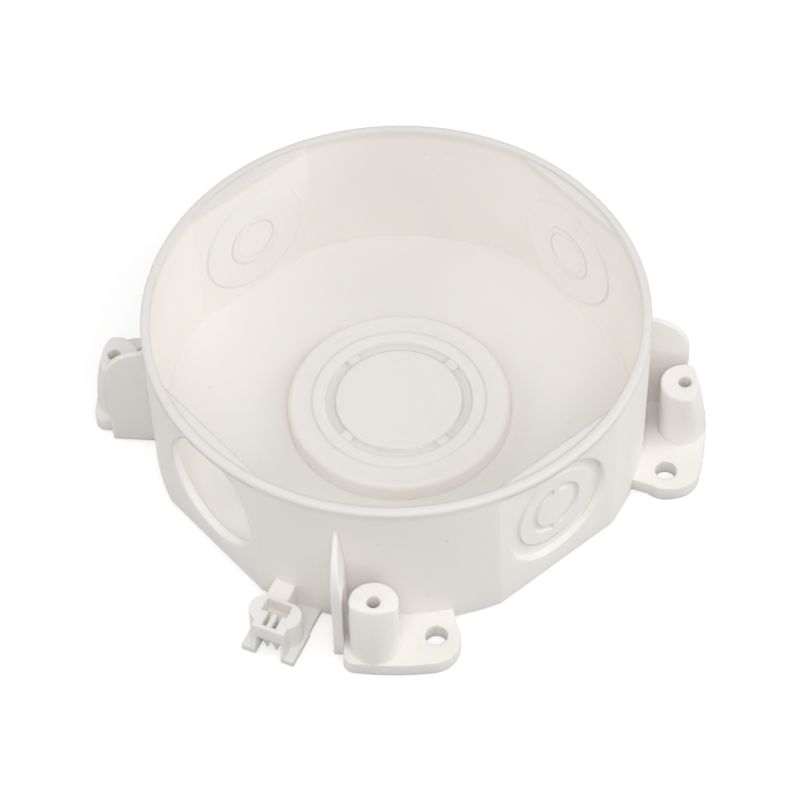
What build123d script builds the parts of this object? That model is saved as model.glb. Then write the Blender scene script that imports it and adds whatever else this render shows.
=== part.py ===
from build123d import *
import os
from math import cos, radians, sin, sqrt

# Round wiring box with four flat sides, moulded in one piece and open at the top.
# Millimetres, +Z up. The origin is the centre of the plane that the nail pads stand on.
# The flat sides face +X, +Y, -X and -Y, and the fixing ears stand between them.

# Box
RIM_DIAMETER = 105.0
BOX_HEIGHT = 37.2
UNDERSIDE = 0.4
WALL = 1.95
FLOOR = 2.2
FLOOR_TOP = 4.05
SIDE_DISTANCE = 50.0
WALL_TAPER = 0.2
OVERHANG_DEPTH = 1.6
LEDGE_DEPTH = 0.3
EDGE_RADIUS = 0.6
CORNER_RADIUS = 0.3

# Ears with their screw bosses, nail holes and fins
SCREW_CIRCLE = 120.0
BOSS_DIAMETER = 10.0
BOSS_TOP = 18.3
BOSS_MIDDLE = 11.5
BOSS_FRONT_TOP = 2.75
BOSS_FRONT_MIDDLE = 4.2
BOSS_FRONT_FOOT = 4.9
BOSS_FRONT_FLATTENING = 2.0
BOSS_CORNER = 1.8
BOSS_EDGE = 0.3
PILOT_DIAMETER = 2.8
PILOT_DEPTH = 13.0
EAR_RADIUS = 65.1
EAR_TOP = 3.55
EAR_ANGLE = 16.6
EAR_LARGE_CORNER = 6.0
EAR_SMALL_CORNER = 2.5
NAIL_HOLE_DIAMETER = 4.6
NAIL_HOLE_RADIUS = 58.25
NAIL_HOLE_ANGLE = 11.95
NAIL_PAD_DIAMETER = 10.0
FIN_THICKNESS = 2.1
FIN_FACE = 6.3
FIN_RADIUS = 60.7
FIN_TOP = 28.8
FIN_ROUND = 8.6
FIN_BLEND = 2.0
FIN_TIP_THICKNESS = 1.1
FIN_EDGE = 0.35

# Side holes and knockouts
SIDE_HOLE_DIAMETER = 25.2
SIDE_HOLE_HEIGHT = 18.9
SIDE_HOLE_EDGE = 0.5
SIDE_RECESS = 1.3
SIDE_MEMBRANE = 0.9
SIDE_STEP_DIAMETER = 19.2
SIDE_STEP = 0.5
SIDE_GROOVE_OUTER = 12.8
SIDE_GROOVE_INNER = 9.8
SIDE_GROOVE_DEPTH = 0.6
SIDE_WEB = 1.2
SIDE_RELIEF = 0.2

# Floor knockout
PLATEAU_DIAMETER = 47.9
PLATEAU_HEIGHT = 4.0
PLATEAU_DRAFT = 0.4
PLATEAU_EDGE = 1.0
RING_OUTER = 37.0
RING_HEIGHT = 0.35
FLOOR_GROOVE_OUTER = 31.3
FLOOR_GROOVE_INNER = 27.1
FLOOR_GROOVE_DEPTH = 1.0
FLOOR_WEB = 3.0
FLOOR_WEB_DROP = 0.3

# Clip beside one ear, measured outwards from the axis of the box
CLIP_ANGLE = 19.2
CLIP_PLATE = 1.4
CLIP_ROOT_WIDTH = 10.9
CLIP_FORK_START = 58.1
CLIP_FORK_END = 66.1
CLIP_FORK_WIDTH = 11.5
CLIP_GAP_START = 62.2
CLIP_GAP_LEFT = -2.7
CLIP_GAP_RIGHT = 3.0
HEAD_TOP = 8.8
HEAD_START = 57.2
HEAD_END = 63.6
HEAD_WIDTH = 11.2
HEAD_MIDDLE = -0.5
HEAD_CORNER = 3.1
HEAD_EDGE = 0.3
NOSE_END = 65.1
NOSE_LEFT = -3.7
NOSE_RIGHT = 3.6
NOSE_BOTTOM = 4.9
POCKET_START = 58.0
POCKET_END = 60.9
POCKET_WIDTH = 5.6
POCKET_FLOOR = 5.6
SLOT_END = 64.25
SLOT_WIDTH = 0.95
SLOT_SPACING = 2.05
SLOT_MIDDLE = -0.15
TOOTH_START = 63.8
TOOTH_DEPTH = 0.8
TOOTH_WIDTH = 2.0
TOOTH_SHOULDER = 2.9
BRIDGE_TOP = 7.6
BRIDGE_LEFT = -4.4
BRIDGE_RIGHT = 0.3

# Sizes worked out from the driving dimensions
rim_radius = RIM_DIAMETER / 2
base_radius = rim_radius - WALL_TAPER
root_radius = base_radius - WALL / 2
ledge_height = BOX_HEIGHT - LEDGE_DEPTH
overhang_height = BOX_HEIGHT - OVERHANG_DEPTH
plateau_top = FLOOR_TOP + PLATEAU_HEIGHT
boss_radius = BOSS_DIAMETER / 2
screw_radius = SCREW_CIRCLE / 2
fin_shoulder = FIN_TOP - FIN_ROUND


def disc(diameter, bottom, top):
    return Pos(0, 0, bottom) * extrude(Circle(diameter / 2), amount=top - bottom)


def tapered_disc(bottom_radius, top_radius, bottom, top):
    profile = Polygon((0, bottom), (bottom_radius, bottom), (top_radius, top), (0, top), align=None)
    return revolve(Plane.XZ * profile, axis=Axis.Z)


def block(start, end, left, right, bottom, top):
    # A box between x = start and end, y = left and right, z = bottom and top
    size = Box(end - start, right - left, top - bottom, align=Align.MIN)
    return Pos(start, left, bottom) * size


def square(half_width, bottom, top):
    return block(-half_width, half_width, -half_width, half_width, bottom, top)


def outer_body():
    # A slightly tapered cylinder flattened on four sides, with the full circle kept as its rim
    body = tapered_disc(base_radius, rim_radius, UNDERSIDE, BOX_HEIGHT)
    sides = body & square(SIDE_DISTANCE, UNDERSIDE, overhang_height)
    sides = fillet(sides.edges().group_by(Axis.Z)[0], EDGE_RADIUS)
    rim = body & disc(2 * RIM_DIAMETER, overhang_height, BOX_HEIGHT)
    rim = fillet(rim.edges().group_by(Axis.Z)[-1], EDGE_RADIUS)
    return sides + rim


def inner_prism(bottom, top):
    bowl = tapered_disc(base_radius - WALL, rim_radius - WALL, bottom, top)
    return bowl & square(SIDE_DISTANCE - WALL, bottom, top)


def cavity():
    # The inside follows the outside and leaves a crescent ledge above each flat side
    lower = inner_prism(FLOOR_TOP, ledge_height)
    lower = fillet(lower.edges().group_by(Axis.Z)[0], CORNER_RADIUS)
    upper = tapered_disc(base_radius - WALL, rim_radius - WALL, FLOOR_TOP, BOX_HEIGHT)
    upper = upper & disc(2 * RIM_DIAMETER, ledge_height, BOX_HEIGHT)
    return lower + upper


def ear_plate():
    # A radial edge on the nail side, the fin's face on the other side and an arc outside
    reach = 2 * EAR_RADIUS
    fin_side = Pos(0, FIN_FACE - reach / 2) * Rectangle(2 * reach, reach)
    nail_side = Rot(0, 0, -EAR_ANGLE) * Pos(0, reach / 2) * Rectangle(2 * reach, reach)
    outline = Circle(EAR_RADIUS) & fin_side & nail_side
    outline = outline - Circle(root_radius)
    outline = outline & Pos(reach / 2, 0) * Rectangle(reach, reach)
    nail_corner, fin_corner = outline.vertices().sort_by_distance((0, 0))[-2:].sort_by(Axis.Y)
    outline = fillet(nail_corner, EAR_LARGE_CORNER)
    fin_corner = outline.vertices().group_by(Axis.Y)[-1].sort_by(Axis.X)[-1]
    outline = fillet(fin_corner, EAR_SMALL_CORNER)
    return Pos(0, 0, UNDERSIDE) * extrude(outline, amount=EAR_TOP - UNDERSIDE)


def boss_section(front):
    # A circle with a slightly curved front cut at its own distance and rounded where the two meet
    front_radius = boss_radius + BOSS_FRONT_FLATTENING * (boss_radius - front)
    section = Circle(boss_radius) & Pos(front - front_radius, 0) * Circle(front_radius)
    return fillet(section.vertices(), BOSS_CORNER)


def screw_boss():
    # Round at the foot, and its outer side leans in to a nearly flat front at the top
    foot = Pos(0, 0, EAR_TOP) * boss_section(BOSS_FRONT_FOOT)
    middle = Pos(0, 0, BOSS_MIDDLE) * boss_section(BOSS_FRONT_MIDDLE)
    top = Pos(0, 0, BOSS_TOP - BOSS_EDGE) * boss_section(BOSS_FRONT_TOP)
    crown = Pos(0, 0, BOSS_TOP) * offset(boss_section(BOSS_FRONT_TOP), amount=-BOSS_EDGE)
    boss = loft([foot, middle, top]) + loft([top, crown], ruled=True)
    return Pos(screw_radius, 0) * boss


def fin_outline():
    # Seen from the side: a large round that runs into a smaller hollow curve up the wall
    middle = FIN_RADIUS - FIN_ROUND
    blend_middle = sqrt(base_radius ** 2 - FIN_FACE ** 2) + FIN_BLEND
    blend_top = fin_shoulder + sqrt((FIN_ROUND + FIN_BLEND) ** 2 - (blend_middle - middle) ** 2)
    outline = Polygon((root_radius, UNDERSIDE), (FIN_RADIUS, UNDERSIDE), (FIN_RADIUS, fin_shoulder),
                      (middle, fin_shoulder), (blend_middle, blend_top), (root_radius, blend_top), align=None)
    outline -= Pos(blend_middle, blend_top) * Circle(FIN_BLEND)
    corner = Circle(FIN_ROUND) & Pos(FIN_ROUND / 2, FIN_ROUND / 2) * Rectangle(FIN_ROUND, FIN_ROUND)
    return outline + Pos(middle, fin_shoulder) * corner


def fin():
    # An upright fin whose face towards the boss leans back above the shoulder of the round
    far_face = FIN_FACE + FIN_THICKNESS
    lean = (FIN_THICKNESS - FIN_TIP_THICKNESS) / FIN_ROUND
    above = 2 * FIN_ROUND
    section = Polygon((FIN_FACE, UNDERSIDE), (far_face, UNDERSIDE), (far_face, fin_shoulder + above),
                      (FIN_FACE + lean * above, fin_shoulder + above), (FIN_FACE, fin_shoulder), align=None)
    side = extrude(Plane.XZ * fin_outline(), amount=-FIN_THICKNESS)
    body = Pos(0, FIN_FACE, 0) * side & extrude(Plane.YZ * section, amount=2 * FIN_RADIUS)
    # Its outer long edges are rounded, and the short ones across its thickness stay sharp
    outer = [edge for edge in body.edges() if edge.center().X > base_radius]
    outer = [edge for edge in outer if edge.center().Z > EAR_TOP and abs(edge.tangent_at(0.5).Y) < 0.5]
    return fillet(outer, FIN_EDGE)


def at_nail_hole(body):
    angle = radians(-NAIL_HOLE_ANGLE)
    return Pos(NAIL_HOLE_RADIUS * cos(angle), NAIL_HOLE_RADIUS * sin(angle)) * body


def ear():
    # The ear at +X, with its nail hole towards -Y and its fin towards +Y
    body = ear_plate() + screw_boss() + fin()
    body += at_nail_hole(disc(NAIL_PAD_DIAMETER, 0, EAR_TOP))
    body -= at_nail_hole(disc(NAIL_HOLE_DIAMETER, -1, EAR_TOP + 1))
    body -= Pos(screw_radius, 0) * disc(PILOT_DIAMETER, BOSS_TOP - PILOT_DEPTH, BOSS_TOP + 1)
    return body


def ears():
    # Neighbouring ears are mirror images, so every fin stands on the side that faces +Y or -Y
    first = Rot(0, 0, 45) * ear()
    second = mirror(first, about=Plane.YZ)
    return [first, second, mirror(first, about=Plane.XZ), mirror(second, about=Plane.XZ)]


def clip_tongue():
    # A flat tongue on the wall's lower edge that widens a little and forks
    half_root = CLIP_ROOT_WIDTH / 2
    half_fork = CLIP_FORK_WIDTH / 2
    top = UNDERSIDE + CLIP_PLATE
    tongue = block(root_radius, CLIP_FORK_END, -half_root, half_root, UNDERSIDE, top)
    tongue += block(CLIP_FORK_START, CLIP_FORK_END, -half_fork, half_fork, UNDERSIDE, top)
    return tongue - fork_gap(top + 1)


def fork_gap(top):
    return block(CLIP_GAP_START, CLIP_FORK_END + 1, CLIP_GAP_LEFT, CLIP_GAP_RIGHT, UNDERSIDE - 1, top)


def clip_nose():
    # A beam across the fork on two side walls that slope down to the prongs
    profile = Polygon((CLIP_GAP_START, UNDERSIDE), (CLIP_FORK_END, UNDERSIDE),
                      (CLIP_FORK_END, UNDERSIDE + CLIP_PLATE), (NOSE_END, NOSE_BOTTOM),
                      (NOSE_END, HEAD_TOP), (CLIP_GAP_START, HEAD_TOP), align=None)
    nose = Pos(0, NOSE_LEFT) * extrude(Plane.XZ * profile, amount=NOSE_LEFT - NOSE_RIGHT)
    top_edges = nose.edges().group_by(Axis.Z)[-1].sort_by(Axis.X)[1:]
    return fillet(top_edges, HEAD_EDGE)


def clip_tooth():
    # A flat pointed tooth that hangs under a slot
    half = TOOTH_WIDTH / 2
    outline = Polygon((-half, NOSE_BOTTOM + TOOTH_DEPTH), (half, NOSE_BOTTOM + TOOTH_DEPTH),
                      (half, TOOTH_SHOULDER), (0, UNDERSIDE), (-half, TOOTH_SHOULDER), align=None)
    return Pos(TOOTH_START, 0) * extrude(Plane.YZ * outline, amount=TOOTH_DEPTH)


def clip_head():
    # A rounded post with a pocket in its top, from which two slots run out to the nose
    plan = RectangleRounded(HEAD_END - HEAD_START, HEAD_WIDTH, HEAD_CORNER)
    post = Pos((HEAD_START + HEAD_END) / 2, HEAD_MIDDLE, UNDERSIDE) * extrude(plan, amount=HEAD_TOP - UNDERSIDE)
    post = fillet(post.edges().group_by(Axis.Z)[-1], HEAD_EDGE)
    head = post + clip_nose() - fork_gap(NOSE_BOTTOM)
    pocket_left = HEAD_MIDDLE - POCKET_WIDTH / 2
    pocket_right = HEAD_MIDDLE + POCKET_WIDTH / 2
    head -= block(POCKET_START, POCKET_END, pocket_left, pocket_right, POCKET_FLOOR, HEAD_TOP + 1)
    for side in (-1, 1):
        middle = SLOT_MIDDLE + side * SLOT_SPACING / 2
        head += Pos(0, middle) * clip_tooth()
        head -= block(POCKET_END - SLOT_WIDTH, SLOT_END, middle - SLOT_WIDTH / 2, middle + SLOT_WIDTH / 2,
                      POCKET_FLOOR, HEAD_TOP + 1)
    return head


def clip():
    # Modelled along +X and turned into place
    bridge = block(root_radius, POCKET_START, BRIDGE_LEFT, BRIDGE_RIGHT, UNDERSIDE, BRIDGE_TOP)
    return Rot(0, 0, -45 - CLIP_ANGLE) * (clip_tongue() + clip_head() + bridge)


def on_side(body, turn):
    # Carries a round piece modelled about +Z to the hole axis of a flat side
    return Rot(0, 0, turn) * Pos(0, 0, SIDE_HOLE_HEIGHT) * Rot(0, 90, 0) * body


def split_ring(outer, inner, bottom, top, web, turns):
    ring = disc(outer, bottom, top) - disc(inner, bottom - 1, top + 1)
    for turn in turns:
        ring -= Rot(0, 0, turn) * block(0, outer, -web / 2, web / 2, bottom - 1, top + 1)
    return ring


def side_hole():
    # The hole with its outer edge rounded
    hole = disc(SIDE_HOLE_DIAMETER, SIDE_DISTANCE - 2 * WALL, SIDE_DISTANCE)
    mouth = disc(SIDE_HOLE_DIAMETER + 4 * SIDE_HOLE_EDGE, SIDE_DISTANCE, SIDE_DISTANCE + WALL)
    hole = hole + mouth
    corner = hole.edges().filter_by(GeomType.CIRCLE).group_by(Axis.Z)[1].sort_by(SortBy.RADIUS)[0]
    return fillet(corner, SIDE_HOLE_EDGE)


def side_knockout():
    # A round membrane pushed inwards, with a raised disc and a broken groove for a smaller hole
    recess_floor = SIDE_DISTANCE - SIDE_RECESS
    inner_face = recess_floor - SIDE_MEMBRANE
    step_top = recess_floor + SIDE_STEP
    plate = disc(SIDE_HOLE_DIAMETER + SIDE_MEMBRANE, inner_face, SIDE_DISTANCE - WALL / 2)
    plate -= disc(SIDE_HOLE_DIAMETER, recess_floor, SIDE_DISTANCE)
    plate = chamfer(plate.edges().group_by(Axis.Z)[0], SIDE_RELIEF)
    plate += disc(SIDE_STEP_DIAMETER, recess_floor - SIDE_MEMBRANE / 2, step_top)
    backing = disc(SIDE_GROOVE_OUTER, inner_face - SIDE_RELIEF, recess_floor - SIDE_MEMBRANE / 2)
    backing -= disc(SIDE_GROOVE_INNER, inner_face - 1, inner_face)
    plate += chamfer(backing.edges().group_by(Axis.Z)[0], SIDE_RELIEF / 2)
    webs = (0, 180)
    plate -= split_ring(SIDE_GROOVE_OUTER, SIDE_GROOVE_INNER, step_top - SIDE_GROOVE_DEPTH,
                        step_top + 1, SIDE_WEB, webs)
    return plate


def floor_knockout():
    # A round plateau raised on the floor with a ring, a broken groove and a disc
    foot = PLATEAU_DIAMETER / 2
    plateau = tapered_disc(foot, foot - PLATEAU_DRAFT, FLOOR_TOP - FLOOR / 2, plateau_top)
    plateau = fillet(plateau.edges().group_by(Axis.Z)[-1], PLATEAU_EDGE)
    ring = disc(RING_OUTER, plateau_top - FLOOR / 2, plateau_top + RING_HEIGHT)
    ring -= disc(FLOOR_GROOVE_OUTER, plateau_top, plateau_top + 1)
    plateau += chamfer(ring.edges().group_by(Axis.Z)[-1], RING_HEIGHT / 2)
    web_top = plateau_top - FLOOR_WEB_DROP
    groove = disc(FLOOR_GROOVE_OUTER, web_top, plateau_top) - disc(FLOOR_GROOVE_INNER, web_top, plateau_top)
    webs = (0, 90, 180, 270)
    groove += split_ring(FLOOR_GROOVE_OUTER, FLOOR_GROOVE_INNER, plateau_top - FLOOR_GROOVE_DEPTH,
                         plateau_top, FLOOR_WEB, webs)
    return plateau - groove


def underside_recess():
    # Keeps the floor as thin as the walls, below the floor and below the plateau
    recess = inner_prism(UNDERSIDE - 1, FLOOR_TOP - FLOOR)
    return recess + disc(PLATEAU_DIAMETER - 2 * FLOOR, UNDERSIDE - 1, plateau_top - FLOOR)


def switch_box():
    box = outer_body()
    for one in ears():
        box += one
    box += clip()
    box -= cavity()
    for turn in (0, 90, 180, 270):
        box -= on_side(side_hole(), turn)
    for turn in (0, 90, 180):
        box += on_side(side_knockout(), turn)
    box += floor_knockout()
    return box - underside_recess()


os.makedirs("parts", exist_ok=True)
export_step(switch_box(), "parts/switch_box.step")
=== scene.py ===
import math

import bpy
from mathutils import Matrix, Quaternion, Vector

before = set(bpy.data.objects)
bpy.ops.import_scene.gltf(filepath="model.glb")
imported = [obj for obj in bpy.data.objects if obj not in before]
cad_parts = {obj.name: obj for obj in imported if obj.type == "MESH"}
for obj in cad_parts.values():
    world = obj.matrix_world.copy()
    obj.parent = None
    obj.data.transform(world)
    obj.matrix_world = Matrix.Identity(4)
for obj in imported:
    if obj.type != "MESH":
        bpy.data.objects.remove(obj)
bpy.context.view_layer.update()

# Lengths are in metres, and the part stands on z = 0 with its open side up

# Camera, recovered from the photo's ellipses: a long lens looking down into the box
CAMERA_PLACE = Vector((0.32249, -0.25859, 0.51976))
CAMERA_TARGET = Vector((0.00720, -0.00552, 0.0189))
CAMERA_ROLL = math.radians(-2.076)
LENS = 139.5
SENSOR = 36.0
NEAR_LIMIT = 0.01
FAR_LIMIT = 20.0

# Moulded plastic, a slightly warm white that scatters some light inside
PLASTIC_LIGHT = (0.912, 0.886, 0.852)
PLASTIC_DARK = (0.898, 0.872, 0.837)
PLASTIC_ROUGHNESS = (0.48, 0.60)
PLASTIC_IOR = 1.49
SCATTER_SHARE = 0.45
SCATTER_RADIUS = (0.0024, 0.0021, 0.0018)

# Scale and detail of the noise that varies the tone, the gloss and the grain
TONE_NOISE = (38.0, 3.0)
GLOSS_NOISE = (160.0, 4.0)
GRAIN_NOISE = (2600.0, 2.0)
TONE_SPREAD = (0.3, 0.6)
GRAIN_STRENGTH = 0.05
GRAIN_HEIGHT = 0.0001

# Radius by which the shading of edges is softened: outside, inside the box and at its rim
OUTER_SOFTNESS = 0.00045
INNER_SOFTNESS = 0.0008
RIM_SOFTNESS = 0.0009
SOFTNESS_SAMPLES = 6

# The inside of the box reaches this far from its centre: along x or y at the flats, and all round
INNER_SIDE = 0.0483
INNER_RADIUS = 0.0515

# The rim blends in over these heights, and its colour is darkened there as painted shade
RIM_HEIGHTS = (0.0345, 0.0362)
RIM_PAINTED_SHADE = 0.90

# Small marks in the plastic: place, half sizes along x, y and z, and how dark they are
MARKS = (
    ((0.0477, 0.0216, 0.0158), (0.0010, 0.0010, 0.0027), 0.045),
    ((0.04563, -0.02579, 0.02686), (0.0005, 0.0005, 0.0005), 0.10),
    ((0.03761, -0.03655, 0.02717), (0.0005, 0.0005, 0.0005), 0.05),
    ((0.04347, -0.02911, 0.00946), (0.0006, 0.0008, 0.0004), 0.10),
    ((-0.03420, 0.03713, 0.03034), (0.0005, 0.0005, 0.0005), 0.05),
    ((-0.03051, 0.04025, 0.03106), (0.0005, 0.0005, 0.0005), 0.05),
    ((-0.03294, 0.03824, 0.02550), (0.0005, 0.0005, 0.0005), 0.05),
    ((-0.03186, -0.02647, 0.00405), (0.0006, 0.0006, 0.0006), 0.07),
    ((0.02637, 0.02496, 0.00405), (0.0006, 0.0006, 0.0006), 0.07),
)

# A mark fades out between these shares of its half sizes
MARK_FADE = (0.5, 1.1)

# Studio: the floor lies just under the part, and every lamp is a round softbox
FLOOR_SIZE = 8.0
FLOOR_HEIGHT = -0.0002
FLOOR_GLOW = 0.60
FLOOR_COLOUR = (0.50, 0.50, 0.50)
WHITE = (1.0, 1.0, 1.0)
WORLD_STRENGTH = 0.46
LAMP_SIZE = 0.50

# Name, place and power of each lamp
LAMPS = (
    ("front_light", (0.401, -0.325, 0.737), 2.30),
    ("right_front_light", (0.508, 0.090, 0.737), 0.75),
    ("right_light", (0.524, 0.625, 0.380), 2.30),
    ("left_light", (-0.501, -0.597, 0.450), 1.60),
)


def opaque(colour):
    return (*colour, 1.0)


def add_node(tree, kind, **settings):
    node = tree.nodes.new(kind)
    for name, value in settings.items():
        setattr(node, name, value)
    return node


def feed(tree, value, target):
    """Link a socket to the target socket, or set the target to a plain value."""
    if isinstance(value, bpy.types.NodeSocket):
        tree.links.new(value, target)
    else:
        target.default_value = value


def calculate(tree, operation, first, second):
    node = add_node(tree, "ShaderNodeMath", operation=operation)
    feed(tree, first, node.inputs[0])
    feed(tree, second, node.inputs[1])
    return node.outputs["Value"]


def combine(tree, operation, first, second):
    """Vector result of an operation on two vectors."""
    node = add_node(tree, "ShaderNodeVectorMath", operation=operation)
    feed(tree, first, node.inputs[0])
    feed(tree, second, node.inputs[1])
    return node.outputs["Vector"]


def length_of(tree, vector):
    node = add_node(tree, "ShaderNodeVectorMath", operation="LENGTH")
    feed(tree, vector, node.inputs[0])
    return node.outputs["Value"]


def split(tree, vector):
    node = add_node(tree, "ShaderNodeSeparateXYZ")
    feed(tree, vector, node.inputs["Vector"])
    return node.outputs


def ramp(tree, value, before=(0.0, 1.0), after=(0.0, 1.0), **settings):
    """Value carried from one range to another, and held at the ends."""
    node = add_node(tree, "ShaderNodeMapRange", **settings)
    node.inputs["From Min"].default_value, node.inputs["From Max"].default_value = before
    node.inputs["To Min"].default_value, node.inputs["To Max"].default_value = after
    feed(tree, value, node.inputs["Value"])
    return node.outputs["Result"]


def mixed(tree, data_type, factor, start, end):
    """Start where the factor is nought, end where it is one."""
    node = add_node(tree, "ShaderNodeMix", data_type=data_type)
    feed(tree, factor, node.inputs["Factor"])
    feed(tree, start, node.inputs["A"])
    feed(tree, end, node.inputs["B"])
    return node.outputs["Result"]


def noise(tree, place, scale, detail):
    node = add_node(tree, "ShaderNodeTexNoise")
    node.inputs["Scale"].default_value = scale
    node.inputs["Detail"].default_value = detail
    feed(tree, place, node.inputs["Vector"])
    return node.outputs["Fac"]


def plain_material(name):
    """Empty material, with its node tree and its surface socket."""
    material = bpy.data.materials.new(name)
    material.use_nodes = True
    tree = material.node_tree
    tree.nodes.clear()
    return material, tree, add_node(tree, "ShaderNodeOutputMaterial").inputs["Surface"]


def mark_shade(tree, place):
    """One all over, and a little less inside each soft-edged mark."""
    shade = 1.0
    for centre, half_sizes, darkness in MARKS:
        away = combine(tree, "SUBTRACT", place, centre)
        reach = length_of(tree, combine(tree, "DIVIDE", away, half_sizes))
        soft = ramp(tree, reach, MARK_FADE, (1.0 - darkness, 1.0), interpolation_type="SMOOTHSTEP")
        shade = calculate(tree, "MULTIPLY", shade, soft)
    return shade


def at_rim(tree, place):
    """Nought up to the rim and one on it."""
    return ramp(tree, split(tree, place)["Z"], RIM_HEIGHTS)


def inside_box(tree, place):
    """One between the inner faces of the wall, nought outside them."""
    level = combine(tree, "MULTIPLY", place, (1.0, 1.0, 0.0))
    size = add_node(tree, "ShaderNodeVectorMath", operation="ABSOLUTE")
    feed(tree, level, size.inputs[0])
    along = split(tree, size.outputs["Vector"])
    side = calculate(tree, "MAXIMUM", along["X"], along["Y"])
    within_flats = calculate(tree, "LESS_THAN", side, INNER_SIDE)
    within_round = calculate(tree, "LESS_THAN", length_of(tree, level), INNER_RADIUS)
    return calculate(tree, "MULTIPLY", within_flats, within_round)


def plastic_colour(tree, place, rim):
    """Broad uneven tone, darker at the small marks, and darkened on the rim as painted shade."""
    broad = ramp(tree, noise(tree, place, *TONE_NOISE), TONE_SPREAD)
    tone = mixed(tree, "RGBA", broad, opaque(PLASTIC_DARK), opaque(PLASTIC_LIGHT))
    # Painted shade: the plastic's colour is scaled down by this factor on the rim
    rim_painted_shade = mixed(tree, "FLOAT", rim, 1.0, RIM_PAINTED_SHADE)
    shade = add_node(tree, "ShaderNodeVectorMath", operation="SCALE")
    feed(tree, tone, shade.inputs[0])
    feed(tree, calculate(tree, "MULTIPLY", mark_shade(tree, place), rim_painted_shade), shade.inputs["Scale"])
    return shade.outputs["Vector"]


def plastic_normal(tree, place, rim):
    """Softened edges with a fine grain on them."""
    softness = mixed(tree, "FLOAT", inside_box(tree, place), OUTER_SOFTNESS, INNER_SOFTNESS)
    soft_edge = add_node(tree, "ShaderNodeBevel", samples=SOFTNESS_SAMPLES)
    feed(tree, mixed(tree, "FLOAT", rim, softness, RIM_SOFTNESS), soft_edge.inputs["Radius"])
    bump = add_node(tree, "ShaderNodeBump")
    bump.inputs["Strength"].default_value = GRAIN_STRENGTH
    bump.inputs["Distance"].default_value = GRAIN_HEIGHT
    feed(tree, noise(tree, place, *GRAIN_NOISE), bump.inputs["Height"])
    feed(tree, soft_edge.outputs["Normal"], bump.inputs["Normal"])
    return bump.outputs["Normal"]


def plastic():
    """Moulded plastic: broad uneven tone, small marks, painted shade on the rim, patchy gloss,
    fine grain and soft edges.
    """
    material, tree, surface = plain_material("moulded_plastic")
    place = add_node(tree, "ShaderNodeTexCoord").outputs["Object"]
    rim = at_rim(tree, place)
    gloss = ramp(tree, noise(tree, place, *GLOSS_NOISE), after=PLASTIC_ROUGHNESS)
    shader = add_node(tree, "ShaderNodeBsdfPrincipled")
    shader.inputs["IOR"].default_value = PLASTIC_IOR
    shader.inputs["Subsurface Weight"].default_value = SCATTER_SHARE
    shader.inputs["Subsurface Radius"].default_value = SCATTER_RADIUS
    shader.inputs["Subsurface Scale"].default_value = 1.0
    feed(tree, plastic_colour(tree, place, rim), shader.inputs["Base Color"])
    feed(tree, gloss, shader.inputs["Roughness"])
    feed(tree, plastic_normal(tree, place, rim), shader.inputs["Normal"])
    feed(tree, shader.outputs["BSDF"], surface)
    return material


def floor_material():
    """White to the camera and to gloss, and still darker where the object shades it."""
    material, tree, surface = plain_material("studio_floor")
    matte = add_node(tree, "ShaderNodeBsdfDiffuse")
    matte.inputs["Color"].default_value = opaque(FLOOR_COLOUR)
    seen = add_node(tree, "ShaderNodeLightPath").outputs
    either = calculate(tree, "MAXIMUM", seen["Is Camera Ray"], seen["Is Glossy Ray"])
    glow = add_node(tree, "ShaderNodeEmission")
    feed(tree, calculate(tree, "MULTIPLY", either, FLOOR_GLOW), glow.inputs["Strength"])
    both = add_node(tree, "ShaderNodeAddShader")
    feed(tree, matte.outputs["BSDF"], both.inputs[0])
    feed(tree, glow.outputs["Emission"], both.inputs[1])
    feed(tree, both.outputs["Shader"], surface)
    return material


def floor():
    bpy.ops.mesh.primitive_plane_add(size=FLOOR_SIZE, location=(0, 0, FLOOR_HEIGHT))
    plane = bpy.context.object
    plane.name = "studio_floor"
    plane.data.materials.append(floor_material())


def background(tree, strength):
    node = add_node(tree, "ShaderNodeBackground")
    node.inputs["Color"].default_value = opaque(WHITE)
    node.inputs["Strength"].default_value = strength
    return node.outputs["Background"]


def room():
    """An even surround, which the camera sees as plain white."""
    world = bpy.data.worlds.new("soft_room")
    bpy.context.scene.world = world
    world.use_nodes = True
    tree = world.node_tree
    tree.nodes.clear()
    choose = add_node(tree, "ShaderNodeMixShader")
    seen = add_node(tree, "ShaderNodeLightPath")
    feed(tree, seen.outputs["Is Camera Ray"], choose.inputs["Fac"])
    feed(tree, background(tree, WORLD_STRENGTH), choose.inputs[1])
    feed(tree, background(tree, 1.0), choose.inputs[2])
    out = add_node(tree, "ShaderNodeOutputWorld")
    feed(tree, choose.outputs["Shader"], out.inputs["Surface"])


def softbox(name, place, power):
    light = bpy.data.lights.new(name, "AREA")
    light.shape = "DISK"
    light.size = LAMP_SIZE
    light.energy = power
    lamp = bpy.data.objects.new(name, light)
    bpy.context.scene.collection.objects.link(lamp)
    lamp.location = place
    lamp.rotation_mode = "QUATERNION"
    lamp.rotation_quaternion = (CAMERA_TARGET - Vector(place)).to_track_quat("-Z", "Y")


def camera():
    data = bpy.data.cameras.new("photo_camera")
    data.lens = LENS
    data.sensor_width = SENSOR
    data.clip_start = NEAR_LIMIT
    data.clip_end = FAR_LIMIT
    cam = bpy.data.objects.new("photo_camera", data)
    bpy.context.scene.collection.objects.link(cam)
    cam.location = CAMERA_PLACE
    cam.rotation_mode = "QUATERNION"
    upright = (CAMERA_TARGET - CAMERA_PLACE).to_track_quat("-Z", "Y")
    cam.rotation_quaternion = upright @ Quaternion((0, 0, 1), CAMERA_ROLL)
    bpy.context.scene.camera = cam


camera()
floor()
room()
for lamp_name, lamp_place, lamp_power in LAMPS:
    softbox(lamp_name, lamp_place, lamp_power)

finish = plastic()
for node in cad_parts.values():
    node.data.materials.clear()
    node.data.materials.append(finish)

bpy.context.scene.view_settings.view_transform = "Standard"
